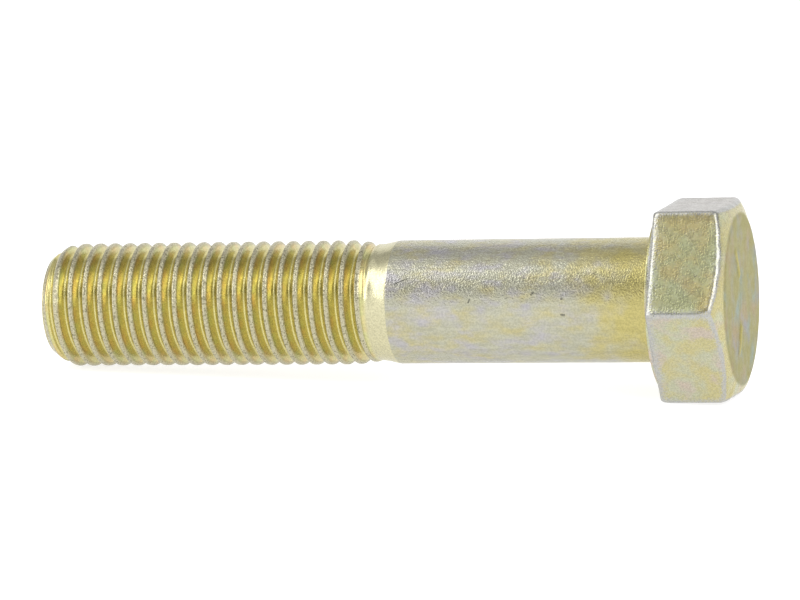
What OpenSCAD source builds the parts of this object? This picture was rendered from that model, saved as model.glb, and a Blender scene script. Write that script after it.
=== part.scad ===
// Hexagon head bolt with a plain shank and a coarse right-hand metric thread, M20 x 2.5 x 100.
// The bolt lies along X: the head is at +X, the tip is at -X, and the origin is the centre of the bearing face.

/* [Head] */
// Distance between two opposite flats of the hexagon
across_flats = 29.7; // [28:0.1:32]
// Height of the head, from the bearing face to the top face
head_height = 12.3; // [10:0.1:15]
// Angle of the top chamfer, measured from the top face
chamfer_angle = 22; // [15:1:30]
// Diameter of the flat top face inside the chamfer
top_face_d = 26; // [24:0.1:27]
// Diameter of the washer face under the hexagon
washer_face_d = 28.4; // [26:0.1:29]
// Thickness of the washer face
washer_face_t = 0.6; // [0.4:0.1:0.8]
// Radius of the fillet between the shank and the bearing face
head_fillet = 0.8; // [0.4:0.1:1.2]

/* [Plain raised bars on the top face] */
// Length of a bar, along a radius of the face
bar_length = 4.6; // [2:0.1:6]
// Width of a bar
bar_width = 0.9; // [0.5:0.1:2]
// Height of a bar above the face
bar_height = 0.25; // [0.1:0.05:0.5]
// Distance of a bar's middle from the bolt's axis
bar_radius = 6.6; // [5:0.1:8]
// Angle between each bar and the horizontal
bar_angle = 62; // [30:1:90]

/* [Shank] */
// Length from the bearing face to the tip
bolt_length = 100; // [90:1:110]
// Diameter of the plain shank
shank_d = 19.5; // [19.2:0.05:20]
// Length of the plain shank, from the bearing face to its shoulder
shank_length = 42.4; // [38:0.1:48]
// Diameter of the neck between the shank and the thread
neck_d = 18.4; // [17:0.1:19]
// Length of the sloping shoulder between the shank and the neck
shoulder_length = 2; // [0.5:0.1:3]
// Length of the neck
neck_length = 0.9; // [0.6:0.1:2]

/* [Thread] */
// Diameter over the thread's crests
thread_d = 19.7; // [19.6:0.05:20]
// Axial distance between neighbouring crests
pitch = 2.5; // [2.2:0.1:3]
// Length over which the thread's last turns fade into the neck
runout_length = 5; // [2.5:0.1:8]
// Diameter of the flat face at the tip
tip_d = 15.6; // [14:0.1:15.8]
// Axial length of the chamfer at the tip
tip_chamfer = 3.4; // [1:0.1:5]
// Turn of the whole thread about the axis, in degrees
thread_phase = 133; // [0:1:360]

/* [Hidden] */

// Smoothness of the exact round surfaces
round_fn = 96;
// Straight segments in one turn of the thread
turn_segments = 36;
// Length by which joined bodies run into each other
lap = 0.3;
// Step that keeps the thread's end ring just under the neck's surface
ring_inset = 0.02;

corner_r = across_flats / 2 / cos(30);
top_r = top_face_d / 2;
cone_base_r = top_r + head_height / tan(chamfer_angle);

shoulder_x = -shank_length;
neck_x = shoulder_x - shoulder_length;
thread_end_x = neck_x - neck_length;
tip_x = -bolt_length;
thread_span = thread_end_x + lap - tip_x;

// ISO metric external profile: points of one pitch as [share of the pitch, depth under the crest in pitches]
flat_half = 1 / 16;
flank_foot = 3 / 8;
flank_depth = 0.5413;
root_depth = 0.6134;
profile = [
    [0, 0],
    [2 * flat_half, 0],
    [flank_foot + flat_half, flank_depth],
    [0.5 + flat_half, root_depth],
    [1 - flank_foot + flat_half, flank_depth]
];
profile_points = len(profile);
helix_steps = turn_segments * ceil(thread_span / pitch + 1);

// Share of the run-out reached at x: 0 on the full thread, 1 at the neck
function fade(x) =
    let (s = max(0, min(1, (x - thread_end_x + runout_length) / runout_length)))
    s * s * (3 - 2 * s);

// Radius of the tip chamfer's cone at x
function tip_limit(x) = tip_d / 2 + (x - tip_x) * (thread_d - tip_d) / 2 / tip_chamfer;

// Point of the thread at step k around the helix and point i of the profile
function thread_point(k, i) =
    let (
        x = max(tip_x, min(tip_x + thread_span, tip_x + pitch * (k / turn_segments - 1 + profile[i][0]))),
        full_r = thread_d / 2 - pitch * profile[i][1],
        f = fade(x),
        r = min(tip_limit(x), full_r * (1 - f) + (neck_d / 2 - ring_inset) * f),
        a = 360 * (k % turn_segments) / turn_segments + thread_phase
    )
    [x, r * cos(a), r * sin(a)];

// Hexagonal head with its top chamfer and its washer face
module head() {
    intersection() {
        translate([washer_face_t, 0, 0])
            rotate([0, 90, 0])
                rotate([0, 0, 30])
                    cylinder(h = head_height - washer_face_t, r = corner_r, $fn = 6);
        rotate([0, 90, 0])
            cylinder(h = head_height, r1 = cone_base_r, r2 = top_r, $fn = round_fn);
    }
    rotate([0, 90, 0])
        cylinder(h = washer_face_t + lap, d = washer_face_d, $fn = round_fn);
}

// Two plain raised bars on the top face, which carry no lettering
module top_bars() {
    for (side = [-1, 1])
        rotate([side * bar_angle, 0, 0])
            translate([head_height + (bar_height - lap) / 2, -bar_radius, 0])
                cube([bar_height + lap, bar_length, bar_width], center = true);
}

// Plain shank with its fillet, its shoulder and its neck
module shank() {
    rotate([0, -90, 0]) {
        translate([0, 0, -lap])
            cylinder(h = shank_length + lap, d = shank_d, $fn = round_fn);
        rotate_extrude($fn = round_fn)
            translate([shank_d / 2, 0])
                difference() {
                    translate([-lap, 0])
                        square([head_fillet + lap, head_fillet]);
                    translate([head_fillet, head_fillet])
                        circle(r = head_fillet, $fn = round_fn);
                }
        translate([0, 0, shank_length])
            cylinder(h = shoulder_length, d1 = shank_d, d2 = neck_d, $fn = round_fn);
        translate([0, 0, shank_length + shoulder_length - lap])
            cylinder(h = neck_length + lap, d = neck_d, $fn = round_fn);
    }
}

// Right-hand thread from the tip's flat face to the neck
module thread() {
    rows = profile_points;
    last = helix_steps + turn_segments;
    points = [for (k = [0 : last], i = [0 : rows - 1]) thread_point(k, i)];
    // A cell's upper corner past the last profile point is the first point one turn further on
    function corner(k, i) = i < rows ? k * rows + i : (k + turn_segments) * rows;
    tip_centre = len(points);
    neck_centre = tip_centre + 1;
    sides = [
        for (k = [0 : helix_steps - 1], i = [0 : rows - 1])
            let (
                a = corner(k, i),
                b = corner(k + 1, i),
                c = corner(k + 1, i + 1),
                d = corner(k, i + 1)
            )
            each [[a, c, b], [a, d, c]]
    ];
    tip_fan = [for (k = [0 : turn_segments - 1]) [tip_centre, corner(k, 0), corner(k + 1, 0)]];
    neck_fan = [
        for (k = [helix_steps : helix_steps + turn_segments - 1])
            [neck_centre, corner(k + 1, 0), corner(k, 0)]
    ];
    real_sides = [
        for (t = sides)
            if (points[t[0]] != points[t[1]] && points[t[1]] != points[t[2]] && points[t[2]] != points[t[0]])
                t
    ];
    polyhedron(
        points = concat(points, [[tip_x, 0, 0], [tip_x + thread_span, 0, 0]]),
        faces = concat(real_sides, tip_fan, neck_fan)
    );
}

module hex_bolt() {
    color([0.80, 0.76, 0.45]) {
        head();
        top_bars();
        shank();
        thread();
    }
}

hex_bolt();
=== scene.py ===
"""M20 hexagon head bolt, zinc plated and yellow chromated, lying on a plain pale studio floor.

The bolt is one closed mesh. Its rows run from the tip to the head's top face, and its columns go around
the axis. Shapes are worked out in millimetres and written to the mesh in metres.
"""

import math

import bpy
import numpy as np
from mathutils import Matrix, Vector, noise


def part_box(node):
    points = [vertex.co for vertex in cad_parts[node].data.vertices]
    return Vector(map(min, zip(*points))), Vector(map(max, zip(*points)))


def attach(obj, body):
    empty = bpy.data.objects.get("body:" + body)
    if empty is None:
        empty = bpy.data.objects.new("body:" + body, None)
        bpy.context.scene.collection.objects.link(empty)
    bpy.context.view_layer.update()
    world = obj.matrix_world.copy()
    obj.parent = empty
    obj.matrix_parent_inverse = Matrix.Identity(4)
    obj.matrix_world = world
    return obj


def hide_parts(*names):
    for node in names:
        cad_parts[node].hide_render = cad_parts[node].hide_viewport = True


MM = 0.001

# Studio, in metres: the point the camera looks at, and its place around it
AIM = Vector((-0.0427, 0, 0.0003))
CAMERA_AZIMUTH = math.radians(16.4)
CAMERA_ELEVATION = math.radians(8.0)
CAMERA_ROLL = math.radians(-2.85)
CAMERA_DISTANCE = 0.690

# Focal length and sensor width, in millimetres
LENS = 197
SENSOR = 36

# Sizes repeated from the design, in millimetres
HEAD_HEIGHT = 12.3
CHAMFER_ANGLE = math.radians(22)
TOP_FACE_R = 13.0
WASHER_FACE_R = 14.2
WASHER_FACE_T = 0.6
HEAD_FILLET = 0.8
SHANK_R = 9.75
SHANK_LENGTH = 42.4
NECK_R = 9.2
SHOULDER_LENGTH = 2.0
NECK_LENGTH = 0.9
THREAD_R = 9.85
PITCH = 2.5
RUNOUT_LENGTH = 5.0
BOLT_LENGTH = 100
TIP_R = 7.8
TIP_CHAMFER = 3.4
THREAD_TURN = 133 / 360
BAR_LENGTH = 4.6
BAR_WIDTH = 0.9
BAR_HEIGHT = 0.25
BAR_RADIUS = 6.6
BAR_TURN = math.radians(62)

# Where the neck meets the thread, and the thread's turn to the middle of the design's crest
THREAD_END = -SHANK_LENGTH - SHOULDER_LENGTH - NECK_LENGTH
THREAD_PHASE = THREAD_TURN - 1 / 16

# ISO thread profile in pitches: the flank's foot and depth, and the rounded root's depth and radius
FLANK_FOOT = 0.375
FLANK_DEPTH = 0.5413
ROOT_DEPTH = 0.6134
ROOT_ROUND = 0.1443

# Wear of the thread, in pitches: half the width of the crest, and how far its edges are softened
CREST_HALF = 0.11
CREST_SOFT = 0.09

# Rounding of the tip's rim and depth of the dish in the tip's face, in millimetres
TIP_RIM = 0.28
TIP_DISH = 0.3

# Mesh: columns around the bolt, how tightly they gather at the hexagon's corners, where along the shank
# they move there from even places, and the rows on a rounded edge
COLUMNS = 192
GATHER = 1.8
GATHER_START = -38
GATHER_END = -6
ARC_STEPS = 5

# Depth of the forged flats inside their rolled borders, in millimetres
FLAT_DISH = 0.08

# Greyness and darkness of the six flats, starting at the upper rear one and going over the top; the darkness
# is partly the flats' own olive tone and partly painted shade
FLAT_GREY = (0.5, 0.9, 0.0, 0.2, 0.8, 0.2)
FLAT_SHADE = (0.3, 0.4, 0.9, 0.1, 0.2, 0.5)

# Dents, given one by one: x, degrees above the side facing -Y, size, depth
NICKS = (
    (HEAD_HEIGHT - 2.2, 0, 0.5, 0.3),
    (-97, 15, 0.4, 0.3),
    (10, -120, 0.4, 0.2),
    (1, 180, 0.4, 0.2),
    (-73, 200, 0.4, 0.2),
)

# Scratches and pits, given one by one: x and degrees of both ends, width
SCRATCHES = (
    (-SHANK_LENGTH + 1.5, 25, -SHANK_LENGTH + 3.5, 30, 0.10),
    (-SHANK_LENGTH / 3, 10, -SHANK_LENGTH / 3 + 0.1, 10, 0.22),
    (-SHANK_LENGTH / 3, -5, -SHANK_LENGTH / 3 + 0.4, -5, 0.22),
)

# Number of further scratches, scattered over the shank and the head
SCATTERED = 13

# Depth of the plating's fine relief
RELIEF = 0.09 * MM

# Where the thread meets the floor: near its first full crest, and how far inside the crests' radius
REST_X = -97
REST_INSET = 0.01

# Brightness of the sky and of the floor's own glow, which keeps it pure white, and the floor's grey
SKY = 0.52
FLOOR_GLOW = 0.77
FLOOR_GREY = 0.45

# Rows of one pitch, as shares of the pitch on one side of the crest
HALF_PITCH_ROWS = (0.04, 0.075, 0.115, 0.24, 0.36, 0.41, 0.46)


def smooth(low, high, value):
    """0 below low, 1 above high, and a smooth step between them."""
    share = np.clip((value - low) / (high - low), 0, 1)
    return share * share * (3 - 2 * share)


# ---------------------------------------------------------------- shape


def column_turns():
    """Places of the columns in turns: even for the thread, and gathered at the corners for the head."""
    even = np.arange(COLUMNS) / COLUMNS
    share = (even * 6 + 0.5) % 1 * 2 - 1
    gathered = even + (np.sign(share) * np.abs(share) ** GATHER - share) / 12
    return even, gathered


def thread_depth(share):
    """Depth under the crest of a rolled metric thread, at a share of the pitch from the crest's middle."""
    side = np.abs((share + 0.5) % 1 - 0.5) * PITCH
    flank = (side - CREST_HALF * PITCH) * FLANK_DEPTH / (FLANK_FOOT - CREST_HALF)
    soft = CREST_SOFT * PITCH
    rounded = np.where(flank < -soft, 0, (flank + soft) ** 2 / (4 * soft))
    crest = np.where(flank > soft, flank, rounded)
    root_r = ROOT_ROUND * PITCH
    across = PITCH / 2 - side
    root = ROOT_DEPTH * PITCH - root_r + np.sqrt(np.maximum(root_r**2 - across**2, 0))
    return np.where(across < (0.5 - FLANK_FOOT) * PITCH, root, crest)


def runout(x):
    """How far the crests have dropped and the groove has filled: from 0 to about 1 at the neck."""
    drop = np.clip((x - THREAD_END + RUNOUT_LENGTH) / RUNOUT_LENGTH, 0, 1) ** 1.5
    filled = smooth(THREAD_END - 0.65 * RUNOUT_LENGTH, THREAD_END + 0.3, x)
    return drop, filled


def tip_limit(x, tip_x):
    """Radius of the slightly bulging chamfer at the tip."""
    share = np.clip((x - tip_x) / TIP_CHAMFER, 0, 2)
    return TIP_R + (THREAD_R - TIP_R) * (share + 0.5 * share * np.maximum(1 - share, 0))


def thread_grid(turns, tip_x, start_x, end_x):
    """The rows that follow the helix, cut off at start_x and end_x.

    Returns their x, radius, nearness to the crest and to the root, and the number of rows in one pitch.
    """
    half = np.array(HALF_PITCH_ROWS)
    shares = np.concatenate([[0], half, [0.5], 1 - half[::-1]])
    pitches = math.ceil((end_x - tip_x) / PITCH + 1 + THREAD_PHASE) + 1
    along = (np.arange(pitches)[:, None] + shares[None, :]).ravel()
    x = tip_x + PITCH * (along[:, None] - 1 + turns[None, :] - THREAD_PHASE)
    x = np.clip(x, start_x, end_x)
    depth = thread_depth((x - tip_x) / PITCH - turns[None, :] + THREAD_PHASE)
    drop, filled = runout(x)
    full_r = THREAD_R + (NECK_R - THREAD_R) * drop - depth * (1 - filled)
    limit = tip_limit(x, tip_x)
    # Soft change from the thread to the tip's chamfer where they meet
    gap = np.clip(0.5 + (limit - full_r) / 0.5, 0, 1)
    r = limit * (1 - gap) + full_r * gap - 0.25 * gap * (1 - gap)
    crest = (1 - smooth(0.10, 0.42, depth)) * (1 - smooth(0.7, 1, filled))
    root = smooth(0.5, 1.4, depth) * (1 - filled)
    return x, r, crest, root, len(shares)


def rounded_path(corners, rounds, steps):
    """Rows along a path of (x, r) corners, each inner one rounded over given lengths before and after it."""
    rows = []
    start = corners[0]
    for i in range(1, len(corners) - 1):
        corner = corners[i]
        back = corners[i - 1] - corner
        ahead = corners[i + 1] - corner
        before, after = rounds[i - 1]
        enter = corner + back / np.linalg.norm(back, axis=0) * before
        leave = corner + ahead / np.linalg.norm(ahead, axis=0) * after
        rows += [start + (enter - start) * k / steps[i - 1] for k in range(steps[i - 1])]
        for k in range(ARC_STEPS):
            s = k / ARC_STEPS
            rows.append((1 - s) ** 2 * enter + 2 * s * (1 - s) * corner + s * s * leave)
        start = leave
    rows += [start + (corners[-1] - start) * k / steps[-1] for k in range(steps[-1])]
    return np.array(rows)


def hexagon_r(turns, apothem, corner_round):
    """Radius of a hexagon with rounded corners, whose corners stand at turns 0, 1/6 and so on."""
    from_corner = np.abs((turns * 6 + 0.5) % 1 - 0.5) * math.radians(60)
    flat = apothem / np.cos(math.radians(30) - from_corner)
    centre = (apothem - corner_round) / math.cos(math.radians(30))
    across = centre * np.sin(from_corner)
    arc = centre * np.cos(from_corner) + np.sqrt(np.maximum(corner_round**2 - across**2, 0))
    straight_half = (apothem - corner_round) * math.tan(math.radians(30))
    tangent = math.radians(30) - np.arctan(straight_half / apothem)
    return np.where(from_corner < tangent, arc, flat)


def wobble(turns, cycles, seed):
    """Smooth noise around one turn, from -1 to 1."""
    return np.array([
        noise.noise(Vector((cycles * math.cos(math.tau * t), cycles * math.sin(math.tau * t), seed)))
        for t in turns
    ])


def body_rows(turns, apothem):
    """x and radius of the rows from the thread's end to the middle of the head's top face."""
    flat_line = np.ones_like(turns)
    side_r = hexagon_r(turns, apothem, 0.8 + 0.25 * wobble(turns, 3, 7.0))
    chamfer_x = HEAD_HEIGHT - (side_r - TOP_FACE_R) * math.tan(CHAMFER_ANGLE)
    neck_x = -SHANK_LENGTH - SHOULDER_LENGTH
    path = [
        (neck_x - NECK_LENGTH, NECK_R),
        (neck_x - NECK_LENGTH / 2, NECK_R),
        (-SHANK_LENGTH, SHANK_R),
        (0, SHANK_R),
        (0, WASHER_FACE_R),
        (WASHER_FACE_T, WASHER_FACE_R),
        (WASHER_FACE_T, side_r),
        (chamfer_x + 0.3 * wobble(turns, 9, 3.0), side_r),
        (HEAD_HEIGHT, TOP_FACE_R),
        (HEAD_HEIGHT, 0),
    ]
    corners = np.array([[x * flat_line, r * flat_line] for x, r in path])
    bearing_round = 1.7 + 0.3 * wobble(turns, 5, 11.0)
    chamfer_round = 0.75 + 0.25 * wobble(turns, 6, 5.0)
    rounds = [
        (0.4, 1.2),
        (0.3, 0.3),
        (HEAD_FILLET, HEAD_FILLET),
        (0.15, 0.15),
        (0.1, 0.1),
        (0.6, bearing_round),
        (chamfer_round, 1.1),
        (0.5, 0.5),
    ]
    steps = [1, 3, 30, 4, 1, 1, 18, 6, 34]
    return rounded_path(corners, rounds, steps)


def tip_rows(turns, tip_x):
    """x and radius of the rows from the thread's start over the rim to the middle of the dished tip."""
    flat_line = np.ones_like(turns)
    rim_r = tip_limit(np.array(tip_x + TIP_RIM), tip_x)
    path = [(tip_x + TIP_RIM, rim_r), (tip_x, rim_r - 0.06), (tip_x + TIP_DISH, 0)]
    corners = np.array([[x * flat_line, r * flat_line] for x, r in path])
    return rounded_path(corners, [(TIP_RIM * 0.95, TIP_RIM)], [1, 12])


def raised_bars(x, y, z):
    """Height of the two plain bars on the top face, with soft edges."""
    height = np.zeros_like(y)
    for turn in (-BAR_TURN, BAR_TURN):
        out = -y * math.cos(turn) + z * math.sin(turn)
        side = y * math.sin(turn) + z * math.cos(turn)
        inside_end = BAR_LENGTH / 2 - np.abs(out - BAR_RADIUS)
        inside_side = BAR_WIDTH / 2 - np.abs(side)
        inside = np.minimum(inside_end, inside_side)
        height = np.maximum(height, BAR_HEIGHT * smooth(-0.3, 0.3, inside))
    return height * (x > HEAD_HEIGHT - 0.01)


def place_on_flat(x, y, z, apothem):
    """Distances from the hexagon's corner, bearing edge and chamfer, and 1 where a point is on a side."""
    turn = np.arctan2(z, y) / math.tau
    r = np.hypot(y, z)
    from_flat = ((turn * 6) % 1 - 0.5) * math.radians(60)
    from_corner = apothem * math.tan(math.radians(30)) - np.abs(r * np.sin(from_flat))
    side_r = apothem / np.cos(from_flat)
    chamfer_x = HEAD_HEIGHT - (side_r - TOP_FACE_R) * math.tan(CHAMFER_ANGLE)
    on_side = (1 - smooth(0.3, 0.8, side_r - r)) * smooth(0.1, 0.5, x)
    return from_corner, x - WASHER_FACE_T, chamfer_x - x, on_side


def edge_wear(x, y, z, apothem):
    """1 on the head's worn edges and 0 on the middle of its faces."""
    corner, bearing, chamfer, on_side = place_on_flat(x, y, z, apothem)
    near = [
        on_side * np.exp(-((corner / 0.75) ** 2)),
        np.exp(-((bearing / 1.15) ** 2)),
        np.exp(-((chamfer / 0.6) ** 2)) * on_side,
    ]
    return (1 - np.prod([1 - n for n in near], axis=0)) * (x > 0.2)


def flat_dish(x, y, z, apothem):
    """Depth by which the forged flats sink inside their rolled borders."""
    corner, bearing, chamfer, on_side = place_on_flat(x, y, z, apothem)
    inside = smooth(0.5, 1.1, corner) * smooth(0.5, 1.2, bearing) * smooth(0.45, 1.0, chamfer)
    return FLAT_DISH * on_side * inside


def surface_r(x, degrees, apothem):
    """Radius of the thread's crests, the shank or the hexagon, at an angle above the side that faces -Y."""
    if x < -SHANK_LENGTH:
        return THREAD_R
    if x < 0:
        return SHANK_R
    return float(hexagon_r(np.array(0.5 - degrees / 360), apothem, 0.8)) - FLAT_DISH


def surface_point(x, degrees, apothem):
    """Point on the surface, at an angle above the side that faces -Y."""
    r = surface_r(x, degrees, apothem)
    return Vector((x, -r * math.cos(math.radians(degrees)), r * math.sin(math.radians(degrees))))


def bolt_mesh():
    """Points and faces of the whole bolt as one closed mesh, each point's nearness to the thread's crest and
    root, and the hexagon's apothem."""
    low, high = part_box("hex_bolt")
    tip_x = low.x / MM
    apothem = (high.z - low.z) / MM / 2
    even, gathered = column_turns()
    start_x = tip_x + TIP_RIM
    end_x = THREAD_END

    tx, tr, crest, root, pitch_rows = thread_grid(even, tip_x, start_x, end_x)
    thread_rows = len(tx)
    tip = tip_rows(even, tip_x)
    body = body_rows(gathered, apothem)

    points = []
    marks = []

    def add_point(x, r, turn, crest_here=0.0, root_here=0.0):
        points.append((x, r * math.cos(math.tau * turn), r * math.sin(math.tau * turn)))
        marks.append((crest_here, root_here))
        return len(points) - 1

    # Thread: clamped points of a column share one vertex at either end
    index = np.empty((thread_rows, COLUMNS), dtype=int)
    for c in range(COLUMNS):
        first = last = None
        for j in range(thread_rows):
            if tx[j, c] <= start_x:
                if first is None:
                    first = add_point(start_x, tr[j, c], even[c])
                index[j, c] = first
            elif tx[j, c] >= end_x:
                if last is None:
                    last = add_point(end_x, NECK_R, even[c])
                index[j, c] = last
            else:
                index[j, c] = add_point(tx[j, c], tr[j, c], even[c], crest[j, c], root[j, c])

    faces = []

    def add_face(*corners):
        kept = [v for n, v in enumerate(corners) if v != corners[n - 1]]
        if len(kept) > 2:
            faces.append(kept)

    for j in range(thread_rows - 1):
        for c in range(COLUMNS - 1):
            add_face(index[j, c], index[j, c + 1], index[j + 1, c + 1], index[j + 1, c])
        a = min(j + pitch_rows, thread_rows - 1)
        b = min(j + 1 + pitch_rows, thread_rows - 1)
        add_face(index[j, -1], index[a, 0], index[b, 0], index[j + 1, -1])

    def add_rings(rows, first_ring, turn_of, outward):
        """Adds rings after first_ring, joined to it, and returns the last one."""
        ring = first_ring
        for x, r in rows[1:]:
            turn = turn_of(x)
            new = [add_point(x[c], r[c], turn[c]) for c in range(COLUMNS)]
            for c in range(COLUMNS):
                d = (c + 1) % COLUMNS
                quad = (ring[c], ring[d], new[d], new[c])
                add_face(*(quad if outward else quad[::-1]))
            ring = new
        return ring

    def head_turn(x):
        share = smooth(GATHER_START, GATHER_END, x)
        return even * (1 - share) + gathered * share

    top_ring = add_rings(body, list(index[-1]), head_turn, True)
    tip_ring = add_rings(tip, list(index[0]), lambda x: even, False)
    for ring, x, outward in ((top_ring, HEAD_HEIGHT, True), (tip_ring, tip_x + TIP_DISH, False)):
        middle = add_point(x, 0, 0)
        for c in range(COLUMNS):
            fan = (ring[c], ring[(c + 1) % COLUMNS], middle)
            add_face(*(fan if outward else fan[::-1]))
    return np.array(points), faces, np.array(marks), apothem


def uneven(points):
    """Radial unevenness of the forged and rolled surface, in millimetres."""

    def at(p, size, seed):
        return noise.noise(Vector((p[0] / size + seed, p[1] / size, p[2] / size)))

    return np.array([0.020 * at(p, 2.2, 0) + 0.012 * at(p, 0.9, 9) for p in points])


def make_bolt():
    """The bolt's object, with unevenness, dents, dished flats and bars, and the material's attributes."""
    points, faces, marks, apothem = bolt_mesh()
    x, y, z = points.T
    r = np.maximum(np.hypot(y, z), 1e-6)
    # The unevenness fades toward the axis, and the surface sinks a little so that it stays inside the design
    keep = smooth(3, 6, r)
    push = uneven(points) * keep - 0.02 * keep
    y, z = y * (1 + push / r), z * (1 + push / r)
    wear = edge_wear(x, y, z, apothem)
    flat_of = (np.arctan2(z, y) / math.tau * 6 // 1).astype(int) % 6
    on_side = place_on_flat(x, y, z, apothem)[3]
    bevel = (1 - on_side) * smooth(6, 8, x) * smooth(TOP_FACE_R - 0.3, TOP_FACE_R + 0.3, r)
    tone = np.array(FLAT_GREY)[flat_of] * on_side
    # Each flat's darkness, partly painted shade, weaker on the chamfer
    shade = np.array(FLAT_SHADE)[flat_of] * (0.35 + 0.65 * on_side)
    sunk = flat_dish(x, y, z, apothem)
    for nick_x, degrees, size, depth in NICKS:
        middle = surface_point(nick_x, degrees, apothem)
        away = (x - middle.x) ** 2 + (y - middle.y) ** 2 + (z - middle.z) ** 2
        sunk = sunk + depth * np.exp(-away / size**2)
    y, z = y * (1 - sunk / r), z * (1 - sunk / r)
    bars = raised_bars(x, y, z)
    x = x + bars
    mesh = bpy.data.meshes.new("hex_bolt_detail")
    mesh.from_pydata(np.stack([x, y, z], 1) * MM, [], faces)
    mesh.polygons.foreach_set("use_smooth", [True] * len(mesh.polygons))
    attributes = {
        "crest": marks[:, 0],
        "root": marks[:, 1],
        "wear": wear,
        "tone": tone,
        "shade": shade,
        "bevel": bevel,
        "bars": bars / BAR_HEIGHT,
    }
    for name, values in attributes.items():
        layer = mesh.attributes.new(name, "FLOAT", "POINT")
        layer.data.foreach_set("value", values.astype(np.float32))
    mesh.update()
    made = bpy.data.objects.new("hex_bolt_detail", mesh)
    bpy.context.collection.objects.link(made)
    mesh.validate()
    return made


# ---------------------------------------------------------------- material


def add(tree, kind, values=None, **settings):
    """Adds a node. Values fill its inputs with numbers, colours or other nodes' outputs."""
    made = tree.nodes.new(kind)
    for name, value in settings.items():
        setattr(made, name, value)
    for socket, value in (values or {}).items():
        if isinstance(value, bpy.types.NodeSocket):
            tree.links.new(value, made.inputs[socket])
        else:
            made.inputs[socket].default_value = value
    return made


def grain(tree, where, per_mm, detail=2.0, stretch=(1, 1, 1), shift=0.0):
    """Noise with a given number of features per millimetre."""
    spot = add(tree, "ShaderNodeMapping", {"Vector": where, "Scale": stretch, "Location": (shift, 0, 0)})
    made = add(tree, "ShaderNodeTexNoise", {"Vector": spot.outputs[0], "Scale": per_mm, "Detail": detail})
    return made.outputs["Fac"]


def step(tree, value, low, high, to_low=0.0, to_high=1.0):
    """Smooth step from to_low at low to to_high at high."""
    inputs = {"Value": value, "From Min": low, "From Max": high, "To Min": to_low, "To Max": to_high}
    return add(tree, "ShaderNodeMapRange", inputs, interpolation_type="SMOOTHSTEP").outputs[0]


def math_node(tree, kind, a, b):
    """Sum, product or other result of two values."""
    return add(tree, "ShaderNodeMath", {0: a, 1: b}, operation=kind).outputs[0]


def mix(tree, share, a, b, blend="MIX"):
    """Colour between a and b, or a blended with b in another way."""
    made = add(tree, "ShaderNodeMix", {0: share, 6: a, 7: b}, data_type="RGBA", blend_type=blend)
    return made.outputs[2]


def colour(red, green, blue):
    """Display colour, 0 to 255, as linear light."""
    return tuple(((c / 255 + 0.055) / 1.055) ** 2.4 for c in (red, green, blue)) + (1.0,)


def tint(tree, base, share, factor):
    """Colour multiplied by a grey that goes from factor, where share is 0, to 1."""
    level = step(tree, share, 0, 1, factor, 1)
    grey = add(tree, "ShaderNodeCombineColor", {0: level, 1: level, 2: level}).outputs[0]
    return mix(tree, 1.0, base, grey, "MULTIPLY")


def near_line(tree, place, start, end, width):
    """1 on the line between two points and 0 further away than its width."""
    along = end - start
    offset = add(tree, "ShaderNodeVectorMath", {0: place, 1: start}, operation="SUBTRACT").outputs[0]
    per_length = along / along.length_squared
    dot = add(tree, "ShaderNodeVectorMath", {0: offset, 1: per_length}, operation="DOT_PRODUCT")
    share = add(tree, "ShaderNodeClamp", {0: dot.outputs["Value"]}).outputs[0]
    nearest = add(tree, "ShaderNodeVectorMath", {0: along, "Scale": share}, operation="SCALE").outputs[0]
    gap = add(tree, "ShaderNodeVectorMath", {0: offset, 1: nearest}, operation="DISTANCE").outputs["Value"]
    return step(tree, gap, width * 0.5, width, 1, 0)


def shank_colour(tree, place, x):
    """Pale green-gold with soft lavender-grey and yellow patches, turning golden near the head."""
    along = (0.6, 1, 1)
    yellow = step(tree, grain(tree, place, 0.42, 6, along, 4), 0.40, 0.76, 0, 0.9)
    pale = mix(tree, yellow, colour(188, 187, 167), colour(196, 187, 138))
    toward_neck = step(tree, x, -40, -18, 0.03, -0.02)
    spots = math_node(tree, "ADD", grain(tree, place, 0.5, 6, along, 31), toward_neck)
    lavender = step(tree, spots, 0.42, 0.76, 0, 0.9)
    pale = mix(tree, lavender, pale, colour(186, 183, 188))
    drift = step(tree, grain(tree, place, 0.2, 4, shift=60), 0.3, 0.7, -5, 5)
    golden = step(tree, math_node(tree, "ADD", x, drift), -14, -1, 0, 0.95)
    drawn = step(tree, grain(tree, place, 2.0, 3, (0.12, 1, 1)), 0.3, 0.7)
    return tint(tree, mix(tree, golden, pale, colour(194, 183, 118)), drawn, 0.91)


def thread_colour(tree, place, crest, root, x):
    """Rich yellow flanks, pale worn crests with specks, a dark line of painted shade along the crests'
    edges, and a smooth pale gold neck.
    """
    amber = step(tree, grain(tree, place, 0.35, 3, shift=12), 0.38, 0.62)
    flank = mix(tree, amber, colour(205, 203, 145), colour(215, 193, 135))
    flank = mix(tree, root, flank, colour(214, 204, 140))
    # Painted shade: a dark olive line along both edges of each crest
    rim = math_node(tree, "MULTIPLY", step(tree, crest, 0.02, 0.35), step(tree, crest, 0.55, 0.98, 0.4, 0))
    flank = mix(tree, rim, flank, colour(128, 122, 88))
    neck = step(tree, x, THREAD_END - 1.1, THREAD_END - 0.1)
    flank = mix(tree, neck, flank, colour(208, 203, 168))
    speck = step(tree, grain(tree, place, 3.2, 4), 0.34, 0.50, 0.1, 1)
    metal = mix(tree, speck, colour(132, 127, 98), colour(195, 189, 160))
    tip = step(tree, x, 0.8 - BOLT_LENGTH, 0.2 - BOLT_LENGTH, 0, 0.7)
    worn = math_node(tree, "MAXIMUM", step(tree, crest, 0.4, 0.95), tip)
    return mix(tree, worn, flank, metal)


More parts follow.
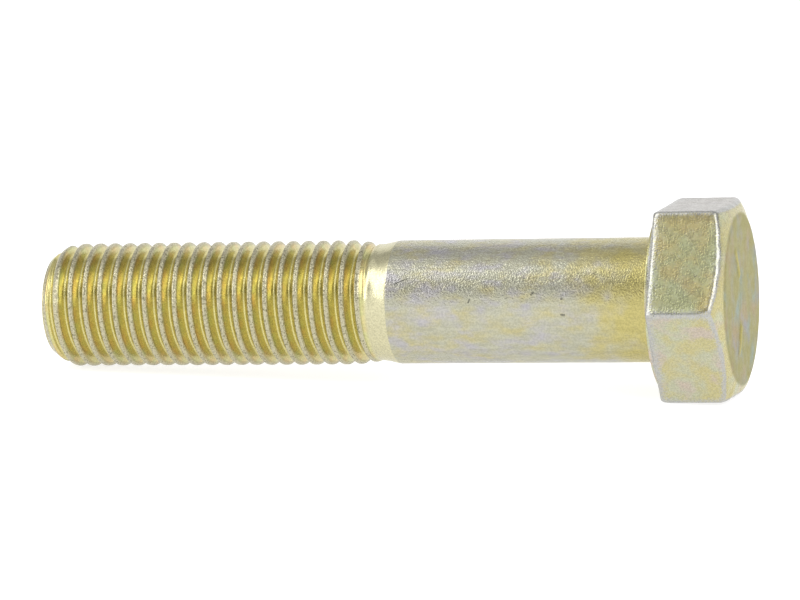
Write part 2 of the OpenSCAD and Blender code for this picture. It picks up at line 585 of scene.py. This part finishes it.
def head_colour(tree, place, mark, x):
    """Olive, gold and pink flats, some darker partly as painted shade, with grey worn borders, a gold
    chamfer and a darker, patchy top face whose raised bars carry a painted gold highlight.
    """

    def patches(per_mm, seed, low, high):
        return step(tree, grain(tree, place, per_mm, 4, shift=seed), low, high)

    flats = mix(tree, patches(0.24, 50, 0.40, 0.60), colour(192, 195, 166), colour(200, 191, 132))
    flats = mix(tree, patches(0.28, 77, 0.48, 0.66), flats, colour(202, 187, 172))
    # Darker olive mixed in by each flat's darkness: partly the flats' own tone, partly painted shade
    dark = mix(tree, patches(0.16, 21, 0.40, 0.60), colour(183, 187, 146), colour(192, 180, 128))
    flats = mix(tree, mark("shade"), flats, dark)
    flats = mix(tree, mark("tone"), flats, colour(165, 161, 159))
    gold = step(tree, grain(tree, place, 0.2, 4, shift=33), 0.40, 0.56, 0.1, 0.9)
    flats = mix(tree, math_node(tree, "MULTIPLY", mark("bevel"), gold), flats, colour(200, 191, 138))
    top = mix(tree, patches(0.16, 18, 0.36, 0.64), colour(152, 164, 150), colour(174, 157, 120))
    top = mix(tree, patches(0.22, 93, 0.34, 0.62), top, colour(166, 160, 102))
    top = mix(tree, patches(0.20, 61, 0.54, 0.76), top, colour(160, 158, 158))
    # Painted highlight: the raised bars are real relief, and their brighter gold stands in for glints
    top = mix(tree, mark("bars"), top, colour(190, 180, 112))
    flats = mix(tree, step(tree, x, HEAD_HEIGHT - 0.3, HEAD_HEIGHT - 0.05), flats, top)
    speckle = step(tree, grain(tree, place, 4.5, 4, shift=5), 0.3, 0.7, -0.35, 0.35)
    worn = step(tree, math_node(tree, "ADD", mark("wear"), speckle), 0, 1.1)
    return mix(tree, worn, flats, colour(183, 183, 180))


def all_scratches():
    """The listed scratches, and a scatter in which each place and size steps on by its own share."""
    found = list(SCRATCHES)
    for k in range(SCATTERED):
        low, high = (2, 9) if k % 3 == 0 else (-39, -3)
        x = low + (high - low) * (k * 0.57 % 1)
        degrees = 360 * (k * 0.755 % 1)
        along = 0.1 + 0.6 * (k * 0.29 % 1)
        around = 4 * (k * 0.43 % 1)
        width = 0.10 + 0.08 * (k * 0.37 % 1)
        found.append((x, degrees, x + along, degrees + around, width))
    return found


def yellow_zinc():
    """Zinc plating with a yellow chromate film: satin metal with relief, patches and scratches."""
    material = bpy.data.materials.new("yellow_zinc")
    material.use_nodes = True
    tree = material.node_tree
    shader = tree.nodes["Principled BSDF"]
    shader.inputs["Metallic"].default_value = 1.0
    where = add(tree, "ShaderNodeTexCoord").outputs["Object"]
    place = add(tree, "ShaderNodeVectorMath", {0: where, "Scale": 1 / MM}, operation="SCALE").outputs[0]
    x = add(tree, "ShaderNodeSeparateXYZ", {0: place}).outputs["X"]

    def mark(name):
        return add(tree, "ShaderNodeAttribute", attribute_name=name).outputs["Fac"]

    crest = mark("crest")
    on_shank = step(tree, x, -SHANK_LENGTH - 0.1, -SHANK_LENGTH + 0.1)
    on_head = step(tree, x, -0.2, 0.1)
    thread = thread_colour(tree, place, crest, mark("root"), x)
    surface = mix(tree, on_shank, thread, shank_colour(tree, place, x))
    surface = mix(tree, on_head, surface, head_colour(tree, place, mark, x))
    speckle = step(tree, grain(tree, place, 3.4, 4, shift=3), 0.36, 0.62)
    surface = tint(tree, surface, speckle, 0.86)

    low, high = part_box("hex_bolt")
    apothem = (high.z - low.z) / MM / 2
    scars = 0.0
    for x1, degrees1, x2, degrees2, width in all_scratches():
        start = surface_point(x1, degrees1, apothem)
        end = surface_point(x2, degrees2, apothem)
        scars = math_node(tree, "MAXIMUM", scars, near_line(tree, place, start, end, width))
    surface = mix(tree, math_node(tree, "MULTIPLY", scars, 0.7), surface, colour(96, 96, 88))
    tree.links.new(surface, shader.inputs["Base Color"])

    rough = step(tree, grain(tree, place, 0.8, 3, shift=21), 0.3, 0.7, 0.20, 0.32)
    polish = math_node(tree, "MULTIPLY", math_node(tree, "SUBTRACT", on_shank, on_head), 0.07)
    rough = math_node(tree, "SUBTRACT", rough, polish)
    top_face = step(tree, x, HEAD_HEIGHT - 0.3, HEAD_HEIGHT - 0.05, 0, 0.3)
    rough = math_node(tree, "ADD", rough, top_face)
    tree.links.new(rough, shader.inputs["Roughness"])

    peel = grain(tree, place, 3.6, 3, shift=8)
    brushed = grain(tree, place, 5, 2, (1, 0.12, 0.12), 40)
    brushing = math_node(tree, "MULTIPLY", brushed, math_node(tree, "MULTIPLY", on_head, 0.5))
    height = math_node(tree, "ADD", peel, brushing)
    height = math_node(tree, "SUBTRACT", height, scars)
    strength = step(tree, x, THREAD_END - 1.1, THREAD_END - 0.1, 0.15, 0.2)
    strength = math_node(tree, "MAXIMUM", strength, crest)
    strength = math_node(tree, "MAXIMUM", strength, on_shank)
    calm = math_node(tree, "SUBTRACT", on_head, mark("bevel"))
    strength = math_node(tree, "MULTIPLY", strength, step(tree, calm, 0, 1, 1, 0.5))
    bump = add(tree, "ShaderNodeBump", {"Height": height, "Strength": strength, "Distance": RELIEF})
    tree.links.new(bump.outputs[0], shader.inputs["Normal"])
    return material


# ---------------------------------------------------------------- studio


def place_camera():
    """Long-lens camera, seeing the bolt from the front right and a little above."""
    a = CAMERA_AZIMUTH
    e = CAMERA_ELEVATION
    roll = CAMERA_ROLL
    back = Vector((math.sin(a) * math.cos(e), -math.cos(a) * math.cos(e), math.sin(e)))
    level_right = Vector((math.cos(a), math.sin(a), 0))
    level_up = back.cross(level_right)
    right = math.cos(roll) * level_right + math.sin(roll) * level_up
    up = back.cross(right)
    data = bpy.data.cameras.new("camera")
    data.lens = LENS
    data.sensor_width = SENSOR
    data.clip_start = 0.01
    camera = bpy.data.objects.new("camera", data)
    camera.matrix_world = Matrix((right, up, back)).transposed().to_4x4()
    camera.location = AIM + back * CAMERA_DISTANCE
    bpy.context.collection.objects.link(camera)
    bpy.context.scene.camera = camera


def soft_light(name, toward, distance, width, height, brightness):
    """Rectangular area light that faces the bolt and whose surface has the given brightness."""
    data = bpy.data.lights.new(name, "AREA")
    data.shape = "RECTANGLE"
    data.size, data.size_y = width, height
    data.energy = brightness * math.pi * width * height
    light = bpy.data.objects.new(name, data)
    light.location = AIM + Vector(toward).normalized() * distance
    light.rotation_euler = Vector(toward).to_track_quat("Z", "Y").to_euler()
    light.visible_camera = False
    bpy.context.collection.objects.link(light)


def floor():
    """Round white sweep, tilted so that the bolt rests on its bearing edge and its thread's crests."""
    flat_r = 1.4
    rise = 1.0
    rings = 6
    around = 96
    steps = 24
    low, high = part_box("hex_bolt")
    head_edge = Vector((WASHER_FACE_T * MM, 0, low.z))
    thread_edge = Vector((REST_X * MM, 0, (REST_INSET - THREAD_R) * MM))
    slope = math.atan2(thread_edge.z - head_edge.z, head_edge.x - thread_edge.x)
    radii = [(flat_r * k / rings, 0.0) for k in range(1, rings + 1)]
    for k in range(1, steps + 1):
        a = math.pi / 2 * k / steps
        radii.append((flat_r + rise * math.sin(a), rise * (1 - math.cos(a))))
    points = [(0, 0, 0)]
    for r, h in radii:
        turns = [math.tau * i / around for i in range(around)]
        points += [(r * math.cos(t), r * math.sin(t), h) for t in turns]
    faces = [(0, 1 + i, 1 + (i + 1) % around) for i in range(around)]
    for k in range(len(radii) - 1):
        for i in range(around):
            j = (i + 1) % around
            a, b = 1 + k * around, 1 + (k + 1) * around
            faces.append((a + i, b + i, b + j, a + j))
    mesh = bpy.data.meshes.new("studio_floor")
    mesh.from_pydata(points, [], faces)
    mesh.polygons.foreach_set("use_smooth", [True] * len(mesh.polygons))
    obj = bpy.data.objects.new("studio_floor", mesh)
    obj.rotation_euler = (0, slope, 0)
    obj.location = head_edge
    bpy.context.collection.objects.link(obj)
    material = bpy.data.materials.new("studio_white")
    material.use_nodes = True
    shader = material.node_tree.nodes["Principled BSDF"]
    shader.inputs["Base Color"].default_value = (FLOOR_GREY, FLOOR_GREY, FLOOR_GREY, 1)
    shader.inputs["Roughness"].default_value = 0.9
    shader.inputs["Emission Color"].default_value = (1, 1, 1, 1)
    shader.inputs["Emission Strength"].default_value = FLOOR_GLOW
    mesh.materials.append(material)


def studio():
    """White sky, four soft lights and the floor."""
    world = bpy.data.worlds.new("studio")
    world.use_nodes = True
    world.node_tree.nodes["Background"].inputs["Color"].default_value = (1, 1, 1, 1)
    world.node_tree.nodes["Background"].inputs["Strength"].default_value = SKY
    bpy.context.scene.world = world
    bpy.context.scene.view_settings.view_transform = "Standard"
    soft_light("left_softbox", (-0.58, -0.42, 0.52), distance=1.2, width=0.46, height=1.2, brightness=2.4)
    soft_light("right_softbox", (0.72, -0.5, 0.75), distance=1.2, width=1.0, height=0.75, brightness=2.2)
    soft_light("top_softbox", (-0.2, -0.14, 0.87), distance=1.2, width=1.0, height=1.15, brightness=0.38)
    soft_light("back_softbox", (0, 1.0, 0.75), distance=1.3, width=1.8, height=0.6, brightness=0.6)
    floor()


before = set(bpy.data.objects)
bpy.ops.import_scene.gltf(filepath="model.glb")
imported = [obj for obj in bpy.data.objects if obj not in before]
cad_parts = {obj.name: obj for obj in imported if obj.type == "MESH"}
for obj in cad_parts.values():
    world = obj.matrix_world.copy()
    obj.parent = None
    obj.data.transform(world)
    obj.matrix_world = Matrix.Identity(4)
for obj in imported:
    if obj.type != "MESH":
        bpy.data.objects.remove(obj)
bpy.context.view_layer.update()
place_camera()
bolt = make_bolt()
bolt.data.materials.append(yellow_zinc())
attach(bolt, "root")
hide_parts("hex_bolt")
studio()
